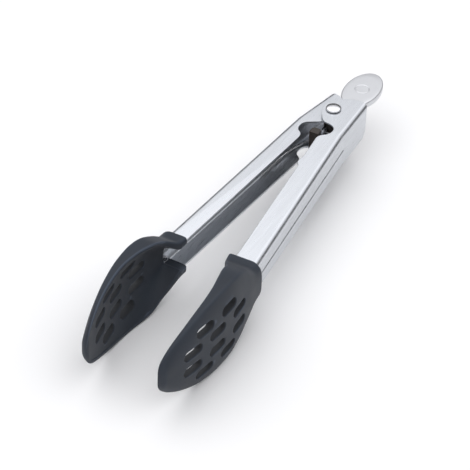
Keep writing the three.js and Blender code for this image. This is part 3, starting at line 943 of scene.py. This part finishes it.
    def dress(self) -> bpy.types.Object:
        """Builds the arm, gives it its finish and stands it in for its node."""
        piece = self.build()
        dress(piece, ARM_FINISH[self.sizes.side].material())
        word = self.sizes.side.word
        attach(piece, f"{word}_arm")
        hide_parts(f"arm_{word}")
        return piece


# ------------------------------------------------------------------ scoops
def collar_out(distance: float) -> float:
    """The outside of the collar at a distance from the rivet."""
    return RIGHT_ARM.web_out(distance) + COLLAR_WALL


def at(share: float) -> float:
    """The distance from the rivet at a share of the scoop's length."""
    return COLLAR_START + share * HEAD_LENGTH


@dataclass
class Scoop:
    """A soft slotted scoop whose collar grips the end of an arm."""

    arm: ArmSizes
    workshop: Workshop
    half_width: float = 20.5
    face_thickness: float = 3.5
    bow: float = 2.6
    lip: float = 1.9
    collar_half: float = 9.9
    middle_slots: tuple[float, ...] = (0.318, 0.553, 0.773)
    middle_height: float = 4.3
    side_slots: tuple[float, ...] = (0.435, 0.664)
    side_height: float = 11.2
    slot_half_width: float = 2.3
    slot_reach: float = 3.45
    slot_round: float = 0.45
    mouth_depth: float = 5.6
    tip_round: float = 2.0
    tip_from: float = 0.962

    def __post_init__(self) -> None:
        """Works out the smooth tables that the rings are read from."""
        end = collar_out(ARM_END)
        arm, half, width = self.arm, self.collar_half, self.half_width
        self.face = SmoothTable((
            (-0.01, collar_out(COLLAR_START)), (0.085, collar_out(at(0.085))),
            (0.17, collar_out(at(0.17)) + 0.05), (0.35, end + 1.2), (0.52, end + 0.8),
            (0.7, end - 0.8), (0.86, end - 3.2), (1, end - 6.2),
        ))
        shift = (RIGHT_ARM.flange - arm.flange) / 2
        self.rim = SmoothTable((
            (-0.01, arm.edge(COLLAR_START) - arm.cheek), (0.08, arm.edge(HEAD_JOIN) - arm.cheek * 0.6),
            (0.19, end - 11.6 + shift), (0.3, end - 9.4), (0.39, end - 7.8), (0.48, end - 6.6),
            (0.6, end - 6.0), (0.77, end - 6.7), (0.91, end - 8.3), (1, end - 9.4),
        ))
        self.width = SmoothTable((
            (-0.01, half), (0.07, half + 0.6), (0.16, lerp(half, width, 0.46)),
            (0.26, lerp(half, width, 0.82)), (0.36, lerp(half, width, 0.97)), (0.46, width),
            (0.57, width * 0.985), (0.7, width * 0.9), (0.82, width * 0.75), (0.91, width * 0.58),
            (self.tip_from, width * 0.43), (0.99, width * 0.28), (1, width * 0.16),
        ))
        self.boxiness = SmoothTable(((-0.01, 9), (0.1, 7), (0.25, 3.6), (0.45, 2.6), (1, 2.2)))
        self.lining = SmoothTable(((-0.01, 1.5), (0.13, 1.5), (0.24, 0.5), (0.35, 0), (1, 0)))
        self.closing = SmoothTable(((0, 0), (0.9, 0), (0.94, 0.25), (0.975, 1), (1, 1)))
        self.wall = SmoothTable((
            (-0.01, 3.9), (0.07, 4.2), (0.14, 3.4), (0.22, 2.5), (0.34, self.lip), (1, self.lip),
        ))
        self.corner = SmoothTable(((-0.01, 2.6), (0.06, 2.6), (0.16, 1.6), (0.3, 1.1), (1, 0.9)))

    def half_width_at(self, share: float) -> float:
        """Half the scoop's width at a share of its length, with a blunt round tip."""
        if share <= self.tip_from:
            return self.width(share)
        left = max(0.0, (1 - share) / (1 - self.tip_from))
        return max(0.35, self.width(self.tip_from) * left**0.3)

    def rounding(self, from_end: float, length: float) -> float:
        """How far a round end has drawn in, from 0 to 1.

        Args:
            from_end: How far the ring is from the end, in millimetres.
            length: How long the round end is.

        Returns:
            0 where the end starts to turn in and 1 at the very end.
        """
        left = clamp(1 - from_end / length)
        return 1 - math.sqrt(1 - left * left)

    def shrink(self, share: float) -> float:
        """How far the ring draws in to round off the collar's edge."""
        return 0.5 * self.rounding(share * HEAD_LENGTH, 0.6)

    def towards_tip(self, share: float, x: float) -> float:
        """An x drawn in towards the middle of the edge, so that the tip is round."""
        middle = lerp(self.rim(share), self.face(share) - self.bow, 0.5)
        return lerp(x, middle, 0.9 * self.rounding((1 - share) * HEAD_LENGTH, self.tip_round))

    def outside(self, share: float, height: float) -> float:
        """The outer face's x at a share of the length and a height."""
        across = clamp(abs(height) / self.half_width_at(share))
        return self.towards_tip(share, self.face(share) - self.bow * across**3.5 - self.shrink(share))

    def tip_x(self, share: float) -> float:
        """The rim's x at a share of the length."""
        return self.towards_tip(share, self.rim(share) + self.shrink(share))

    def floor(self, share: float, height: float) -> float:
        """The dish's x at a share of the length and a height.

        Args:
            share: The share of the scoop's length.
            height: The height above the middle.

        Returns:
            The x of the inside surface.
        """
        tip = self.tip_x(share)
        dish = self.face(share) - self.face_thickness - self.lining(share)
        base = lerp(dish, tip, clamp(self.closing(share)))
        inner = max(0.1, self.half_width_at(share) - self.wall_at(share))
        across = clamp(abs(height) / inner)
        fall = max(0.0, base - tip - 0.4) * across ** self.boxiness(share)
        distance = at(share)
        arch = self.mouth_depth * math.sqrt(max(0.0, 1 - (height / 7.5) ** 2))
        past = distance - (COLLAR_START + arch)
        hidden = self.arm.web_out(distance) - SHEET * 0.55
        level = base - fall
        return level if past > 0.9 else lerp(hidden, level, ease((past + 0.3) / 1.2))

    def wall_at(self, share: float) -> float:
        """The side wall's thickness at a share of the length."""
        return min(self.wall(share), self.half_width_at(share) * 0.45)

    def half_ring(self, share: float) -> list[Point2]:
        """The upper half of a ring, from the middle of the face round to the middle of the dish.

        Args:
            share: The share of the scoop's length.

        Returns:
            (x, z) points.
        """
        drawn = self.shrink(share)
        wall = self.wall_at(share)
        width = max(0.3, self.half_width_at(share) - drawn)
        tip = self.tip_x(share)
        radius = min(self.corner(share), width * 0.4)
        edge_x = self.outside(share, self.half_width_at(share))
        points = [(self.outside(share, z), z) for z in spread(0, width - radius, 14)]
        depth = max(0.05, edge_x - tip)
        first = min(radius, depth * 0.45)
        points += quadratic(points[-1], (edge_x, width), (edge_x - first, width), 6)
        lip_out, lip_in = min(wall * 0.45, depth * 0.45), min(wall * 0.4, 0.76)
        points += [(x, width) for x in spread(edge_x - first, tip + lip_out, 4)[1:]]
        points += quadratic(points[-1], (tip, width), (tip, width - lip_out), 5)
        points.append((tip, width - wall + lip_in))
        inner = width - wall
        points += quadratic(points[-1], (tip, inner), (self.floor(share, inner * 0.995), inner * 0.995), 4)
        turns = spread(math.pi / 2, 0, 26)[2:]
        points += [(self.floor(share, inner * math.sin(t)), inner * math.sin(t)) for t in turns]
        return points

    def blank(self) -> bpy.types.Object:
        """The scoop before its slots are cut."""
        shares = [0.0, 0.0006, 0.002, 0.0045, 0.0078]
        shares += spread(0.012, 0.1, 22)
        shares += spread(0.1, self.tip_from, 58)[1:]
        shares += [0.97, 0.977, 0.982, 0.987, 0.991, 0.9945, 0.997, 0.9987, 0.9996, 1.0]
        sign = self.arm.side.value
        rows = []
        for share in shares:
            upper = self.half_ring(share)
            ring = upper + [(x, -z) for x, z in reversed(upper[1:-1])]
            rows.append([(sign * x, -at(share), z) for x, z in ring])
        draft = MeshDraft()
        draft.add_solid(rows)
        name = f"{self.arm.side.word}_scoop_skin"
        return self.workshop.object_from(name, draft, self.outward)

    def outward(self, place: Vector) -> Vector:
        """A direction that points out of the scoop at a place on it."""
        share = clamp((-place.y - COLLAR_START) / HEAD_LENGTH)
        spine = self.face(share) - self.face_thickness * 0.5
        return Vector((place.x - self.arm.side.value * spine, 0, 0))

    def slot_places(self) -> list[Point2]:
        """The slots' middles as (share of the length, height)."""
        middle = [(share, sign * self.middle_height) for share in self.middle_slots for sign in (1, -1)]
        sides = [(share, sign * self.side_height) for share in self.side_slots for sign in (1, -1)]
        return middle + sides

    def slot_outline(self, grow: float) -> list[Point2]:
        """A slot's outline about its middle, as (along, height)."""
        radius = self.slot_half_width + grow
        near = [t - math.pi / 2 for t in spread(0, math.pi, 14)]
        far = [t + math.pi / 2 for t in spread(0, math.pi, 14)]
        points = [(self.slot_reach + radius * math.cos(t), radius * math.sin(t)) for t in near]
        return points + [(-self.slot_reach + radius * math.cos(t), radius * math.sin(t)) for t in far]

    def slot_ring(self, middle: Point2, level: Point2, outer: bool) -> list[Point3]:
        """One ring of a slot's cutter.

        Args:
            middle: The slot's middle as (share of the length, height).
            level: How far the ring is wider than the slot, and how deep it lies.
            outer: Whether it lies under the outer face; if not, it lies under the dish.

        Returns:
            The ring's points.
        """
        grow, depth = level
        ring = []
        for along, up in self.slot_outline(grow):
            share, z = middle[0] - along / HEAD_LENGTH, middle[1] + up
            x = self.outside(share, z) - depth if outer else self.floor(share, z) + depth
            ring.append((self.arm.side.value * x, -at(share), z))
        return ring

    def slot_cutter(self) -> bpy.types.Object:
        """One object that cuts every slot, flared where it meets the face and the dish."""
        draft = MeshDraft()
        radius = self.slot_round
        flare = [(radius + 0.35, -1.0)]
        for turn in spread(0, math.pi / 2, 6):
            flare.append((radius * (1 - math.sin(turn)), radius * (1 - math.cos(turn))))
        for middle in self.slot_places():
            rings = [self.slot_ring(middle, level, True) for level in flare]
            rings += [self.slot_ring(middle, level, False) for level in reversed(flare)]
            draft.add_solid(rings)
        cutter = self.workshop.object_from("slot_cutter", draft)
        # Painted shade: the slot walls take the darker core material so that the inside of each slot looks
        # dark.
        for face in cutter.data.polygons:
            face.material_index = 1 if abs(face.normal.x) < 0.06 else 0
        return cutter

    def build(self) -> bpy.types.Object:
        """The scoop with its slots, whose walls carry the darker core material as painted shade.

        Returns:
            The finished object.
        """
        piece = self.blank()
        cutter = self.slot_cutter()
        skin, core_and_slot_shade = SCOOP_FINISH.material(), CORE_AND_SLOT_SHADE_FINISH.material()
        dress(piece, skin)
        for material in (skin, core_and_slot_shade):
            cutter.data.materials.append(material)
        cut = piece.modifiers.new("slots", "BOOLEAN")
        cut.operation = "DIFFERENCE"
        cut.solver = "EXACT"
        cut.material_mode = "TRANSFER"
        cut.object = cutter
        self.workshop.apply(piece)
        bpy.data.objects.remove(cutter)
        return self.workshop.finish(piece, 50.0)

    def dress(self) -> bpy.types.Object:
        """Builds the scoop and stands it in for its node."""
        piece = self.build()
        word = self.arm.side.word
        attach(piece, f"{word}_arm")
        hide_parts(f"head_scoop_{word}")
        return piece


# ------------------------------------------------------------------ hinge
@dataclass
class Hinge:
    """The rivet and the torsion spring that is wound round its bush."""

    workshop: Workshop
    shank: float = 1.6
    head_radius: float = 3.6
    head_seat: float = 9.65
    head_height: float = 1.3
    head_rim: float = 0.45
    wire: float = 0.55
    coil_radius: float = 3.45
    coil_low: float = -5.7
    coil_high: float = -1.6
    coil_turns: int = 3
    leg_reach: float = 44.0
    leg_gap: float = 0.35

    def rivet(self) -> bpy.types.Object:
        """The rivet, with a low domed head at each end."""
        seat, radius = self.head_seat, self.head_radius
        rim = seat + self.head_rim
        top = seat + self.head_height
        dome = []
        for turn in spread(0, math.pi / 2, 12):
            dome.append((radius * math.cos(turn) ** 0.8, lerp(rim, top, math.sin(turn))))
        dome[-1] = (0.0, top)
        upper = [(self.shank, seat), (radius - 0.2, seat), (radius - 0.03, seat + 0.12), *dome]
        lower = [(r, -z) for r, z in reversed(upper)]
        middle = [(self.shank, z) for z in spread(-seat, seat, 6)[1:-1]]
        piece = self.workshop.object_from("rivet", lathe([*lower, *middle, *upper]), self.from_axis)
        return self.workshop.finish(piece, 50.0)

    @staticmethod
    def from_axis(point: Vector) -> Vector:
        """The direction away from the rivet's axis at a point."""
        return Vector((point.x, point.y, 0))

    def wire_piece(self, name: str, points: Sequence[Point3]) -> bpy.types.Object:
        """A round wire through points.

        Args:
            name: The piece's name.
            points: The points, in millimetres about the rivet.

        Returns:
            The finished object.
        """
        curve = bpy.data.curves.new(name, "CURVE")
        curve.dimensions = "3D"
        curve.bevel_depth = self.wire
        curve.bevel_resolution = 4
        curve.use_fill_caps = True
        curve.resolution_u = 6
        spline = curve.splines.new("NURBS")
        spline.points.add(len(points) - 1)
        for target, point in zip(spline.points, points):
            target.co = (*point, 1.0)
        spline.order_u = 3
        spline.use_endpoint_u = True
        drawn = bpy.data.objects.new(name + "_line", curve)
        bpy.context.scene.collection.objects.link(drawn)
        seen = drawn.evaluated_get(bpy.context.evaluated_depsgraph_get())
        mesh = bpy.data.meshes.new_from_object(seen)
        bpy.data.objects.remove(drawn)
        piece = bpy.data.objects.new(name, mesh)
        bpy.context.scene.collection.objects.link(piece)
        return self.workshop.finish(piece, 60.0)

    def coil(self) -> bpy.types.Object:
        """The spring's turns round the bush."""
        start, sweep = math.radians(200), math.radians(140) + self.coil_turns * 2 * math.pi
        points = []
        for share in spread(0, 1, self.coil_turns * 24 + 9):
            turn = start - sweep * share
            height = lerp(self.coil_low, self.coil_high, share)
            points.append((self.coil_radius * math.cos(turn), self.coil_radius * math.sin(turn), height))
        return self.wire_piece("spring_coil", points)

    def web_x(self, arm: ArmSizes, distance: float) -> float:
        """The x of a wire that lies along the inside of an arm's web."""
        return arm.web_out(distance) - (SHEET + self.wire + self.leg_gap)

    def leg(self, arm: ArmSizes) -> bpy.types.Object:
        """A leg of the spring, from the coil along the inside of an arm's web.

        Args:
            arm: The arm that it presses on.

        Returns:
            The finished object.
        """
        sign = arm.side.value
        height = self.coil_high if arm.side is Side.RIGHT else self.coil_low
        turn = math.radians(-20)
        web = partial(self.web_x, arm)
        drawn = [
            (self.coil_radius * math.cos(turn + 0.5), self.coil_radius * math.sin(turn + 0.5)),
            (self.coil_radius * math.cos(turn), self.coil_radius * math.sin(turn)),
            (5.2, -4.6), (7.6, -8.8), (web(16) - 1.0, -16), (web(24) - 0.1, -24), (web(32), -32),
            (web(self.leg_reach), -self.leg_reach),
        ]
        return self.wire_piece(f"spring_leg_{arm.side.word}", [(sign * x, y, height) for x, y in drawn])

    def dress(self) -> list[bpy.types.Object]:
        """Builds the rivet and the spring and stands them in for their nodes."""
        rivet = self.rivet()
        dress(rivet, RIVET_FINISH.material())
        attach(rivet, "hinge")
        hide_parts("hinge_rivet")
        wire = WIRE_FINISH.material()
        coil = self.coil()
        legs = {"right_arm": self.leg(RIGHT_ARM), "left_arm": self.leg(LEFT_ARM)}
        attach(coil, "hinge")
        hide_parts("torsion_spring")
        for body, leg in legs.items():
            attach(leg, body)
        for piece in (coil, *legs.values()):
            dress(piece, wire)
        return [rivet, coil, *legs.values()]


# ------------------------------------------------------------------ lock
@dataclass
class PullTab:
    """The oval tab of the lock, thick, with rounded rims and a plain engraved ring."""

    workshop: Workshop
    half_across: float = 8.5
    length: float = 29.0
    near: float = 16.6
    half_thickness: float = 1.7
    rim_round: float = 0.8
    ring_radius: float = 3.3
    ring_half: float = 0.28
    ring_depth: float = 0.16

    def oval(self, inset: float, z: float, segments: int = 96) -> list[Point3]:
        """A ring of the tab's outline.

        Args:
            inset: How far it is drawn in.
            z: Its height.
            segments: How many points it has.

        Returns:
            The points.
        """
        middle = self.near + self.length / 2
        points = []
        for turn in around(segments):
            x = (self.half_across - inset) * math.cos(turn)
            y = middle + (self.length / 2 - inset) * math.sin(turn)
            points.append((x, y, z))
        return points

    def face(self, z: float, sign: int) -> list[list[Point3]]:
        """Rings that run in from the rim over a flat face to an engraved ring and the middle.

        Args:
            z: The face's height.
            sign: 1 on the upper face and -1 on the lower one.

        Returns:
            The rings, from the outside in.
        """
        middle = self.near + self.length / 2
        rims = self.oval(self.rim_round, z)
        half = self.ring_half
        steps = ((half, 0.0), (half * 0.5, 0.8), (0.0, 1.0), (half * -0.5, 0.8), (-half, 0.0))
        levels = [(self.ring_radius + step, share) for step, share in steps] + [(0.4, 0.0)]
        rings, circles = [], []
        for radius, share in levels:
            circle = []
            for turn in around(len(rims)):
                height = z - sign * self.ring_depth * share
                circle.append((radius * math.cos(turn), middle + radius * math.sin(turn), height))
            circles.append(circle)
        for share in (0.35, 0.7):
            rings.append([tuple(lerp(a, b, share) for a, b in zip(p, q)) for p, q in zip(rims, circles[0])])
        return rings + circles

    def build(self) -> bpy.types.Object:
        """The tab as one closed mesh.

        Returns:
            The finished object.
        """
        half, radius = self.half_thickness, self.rim_round
        upper = []
        for turn in spread(0, math.pi / 2, 6):
            upper.append(self.oval(radius * (1 - math.cos(turn)), half - radius + radius * math.sin(turn)))
        lower = [[(x, y, -z) for x, y, z in ring] for ring in reversed(upper)]
        top = self.face(half, 1)
        bottom = [[(x, y, -z) for x, y, z in ring] for ring in reversed(top)]
        rows = [*bottom, *lower, *upper, *top]
        draft = MeshDraft()
        draft.add_solid(rows)
        middle = Vector((0, self.near + self.length / 2, 0))
        piece = self.workshop.object_from("tab_oval", draft, lambda p: p - middle)
        return self.workshop.finish(piece, 35.0)

    def dress(self) -> bpy.types.Object:
        """Builds the tab, gives it its finish and stands it in for its node."""
        piece = self.build()
        dress(piece, TAB_FINISH.material())
        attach(piece, "lock")
        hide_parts("pull_tab")
        return piece


def dress_carried_nodes(nodes: dict[str, bpy.types.Object]) -> None:
    """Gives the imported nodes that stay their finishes.

    Args:
        nodes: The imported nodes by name.
    """
    steel, nylon, core_and_slot_shade = RIVET_FINISH.material(), NYLON_FINISH.material(), CORE_AND_SLOT_SHADE_FINISH.material()
    for name, node in nodes.items():
        if node.hide_render:
            continue
        if name in ("hinge_bush", "lock_shoe"):
            dress(node, nylon)
        elif name.startswith("head_core"):
            dress(node, core_and_slot_shade)
        else:
            dress(node, steel)
        LOG.info("dressed packed node %s", name)


# ------------------------------------------------------------------ studio
@dataclass(frozen=True)
class Studio:
    """A plain pale floor, a soft sky and a few large lights."""

    floor_size: float = 6.0
    floor_colour: Point3 = (0.94, 0.94, 0.94)
    camera_at: Point3 = (0.42687, -0.86506, 0.75414)
    camera_aim: Point3 = (-0.00408, -0.01306, -0.00623)
    camera_roll: float = 2.22
    lens: float = 211.05
    sky_stops: tuple[Point2, ...] = (
        (0.0, 0.14), (0.12, 0.08), (0.42, 0.12), (0.55, 0.8), (0.63, 1.6), (1.0, 1.2),
    )
    floor_gap: float = 0.0002

    def floor(self, height: float) -> None:
        """Lays the floor at a height."""
        bpy.ops.mesh.primitive_plane_add(size=self.floor_size, location=(0, 0, height))
        floor = bpy.context.active_object
        floor.name = "floor"
        sheet = NodeSheet("floor_paint")
        cloud = sheet.noise(sheet.mapped(), 3.0, 2.0)
        tone = sheet.tinted(cloud, lighter(self.floor_colour, 0.99), self.floor_colour)
        sheet.link(tone, sheet.shader.inputs["Base Color"])
        sheet.shader.inputs["Roughness"].default_value = 0.8
        dress(floor, sheet.material)
        floor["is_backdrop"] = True

    def light(self, name: str, place: Point3, size: Point2, power: float, aim: Point3 = (0, 0, 0)) -> None:
        """Hangs a large soft light.

        Args:
            name: The light's name.
            place: Where it hangs.
            size: Its width and height.
            power: Its watts.
            aim: The point that it faces.
        """
        data = bpy.data.lights.new(name, "AREA")
        data.shape = "RECTANGLE"
        data.size, data.size_y = size
        data.energy = power
        lamp = bpy.data.objects.new(name, data)
        lamp.location = place
        lamp.rotation_euler = (Vector(aim) - Vector(place)).to_track_quat("-Z", "Y").to_euler()
        bpy.context.scene.collection.objects.link(lamp)

    def sky(self) -> None:
        """A sky that is dim near the horizon and bright overhead."""
        world = bpy.data.worlds.new("studio")
        bpy.context.scene.world = world
        world.use_nodes = True
        tree = world.node_tree
        coordinates = tree.nodes.new("ShaderNodeTexCoord")
        parts = tree.nodes.new("ShaderNodeSeparateXYZ")
        ramp = tree.nodes.new("ShaderNodeValToRGB")
        ramp.color_ramp.elements[0].position = 0.0
        for position, _ in self.sky_stops[1:-1]:
            ramp.color_ramp.elements.new(position)
        for element, (position, level) in zip(ramp.color_ramp.elements, self.sky_stops):
            element.position = position
            element.color = (level, level, level * 1.02, 1.0)
        tree.links.new(coordinates.outputs["Generated"], parts.inputs["Vector"])
        tree.links.new(parts.outputs["Z"], ramp.inputs["Fac"])
        tree.links.new(ramp.outputs["Color"], tree.nodes["Background"].inputs["Color"])
        tree.nodes["Background"].inputs["Strength"].default_value = 1.0

    def camera(self) -> None:
        """Sets the camera up."""
        data = bpy.data.cameras.new("camera")
        data.lens = self.lens
        data.sensor_width = 36.0
        camera = bpy.data.objects.new("camera", data)
        back = Vector(self.camera_at) - Vector(self.camera_aim)
        turn = back.to_track_quat("Z", "Y").to_matrix().to_4x4()
        roll = Matrix.Rotation(math.radians(self.camera_roll), 4, "Z")
        camera.matrix_world = Matrix.Translation(self.camera_at) @ turn @ roll
        bpy.context.scene.collection.objects.link(camera)
        bpy.context.scene.camera = camera

    def build(self) -> None:
        """Builds the whole studio."""
        self.camera()
        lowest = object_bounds()[0][2]
        self.floor(lowest - self.floor_gap)
        self.sky()
        self.light("overhead", (-0.3, 0.5, 1.3), (1.6, 1.2), 2.0)
        self.light("front", (0.5, -1.2, 0.9), (0.8, 0.8), 1.0)
        bpy.context.scene.view_settings.view_transform = "Standard"


def main() -> None:
    """Builds every piece in order and reports it."""
    logging.basicConfig(level=logging.INFO, format="%(message)s")
    low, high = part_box("hinge_rivet")
    workshop = Workshop((low + high) / 2)
    pieces = []
    for sizes in (RIGHT_ARM, LEFT_ARM):
        pieces.append(Arm(sizes, workshop).dress())
        pieces.append(Scoop(sizes, workshop).dress())
    pieces += Hinge(workshop).dress()
    pieces.append(PullTab(workshop).dress())
    for piece in pieces:
        LOG.info("built %s with %d faces", piece.name, len(piece.data.polygons))
    dress_carried_nodes(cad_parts)
    Studio().build()


if __name__ == "__main__":
    main()
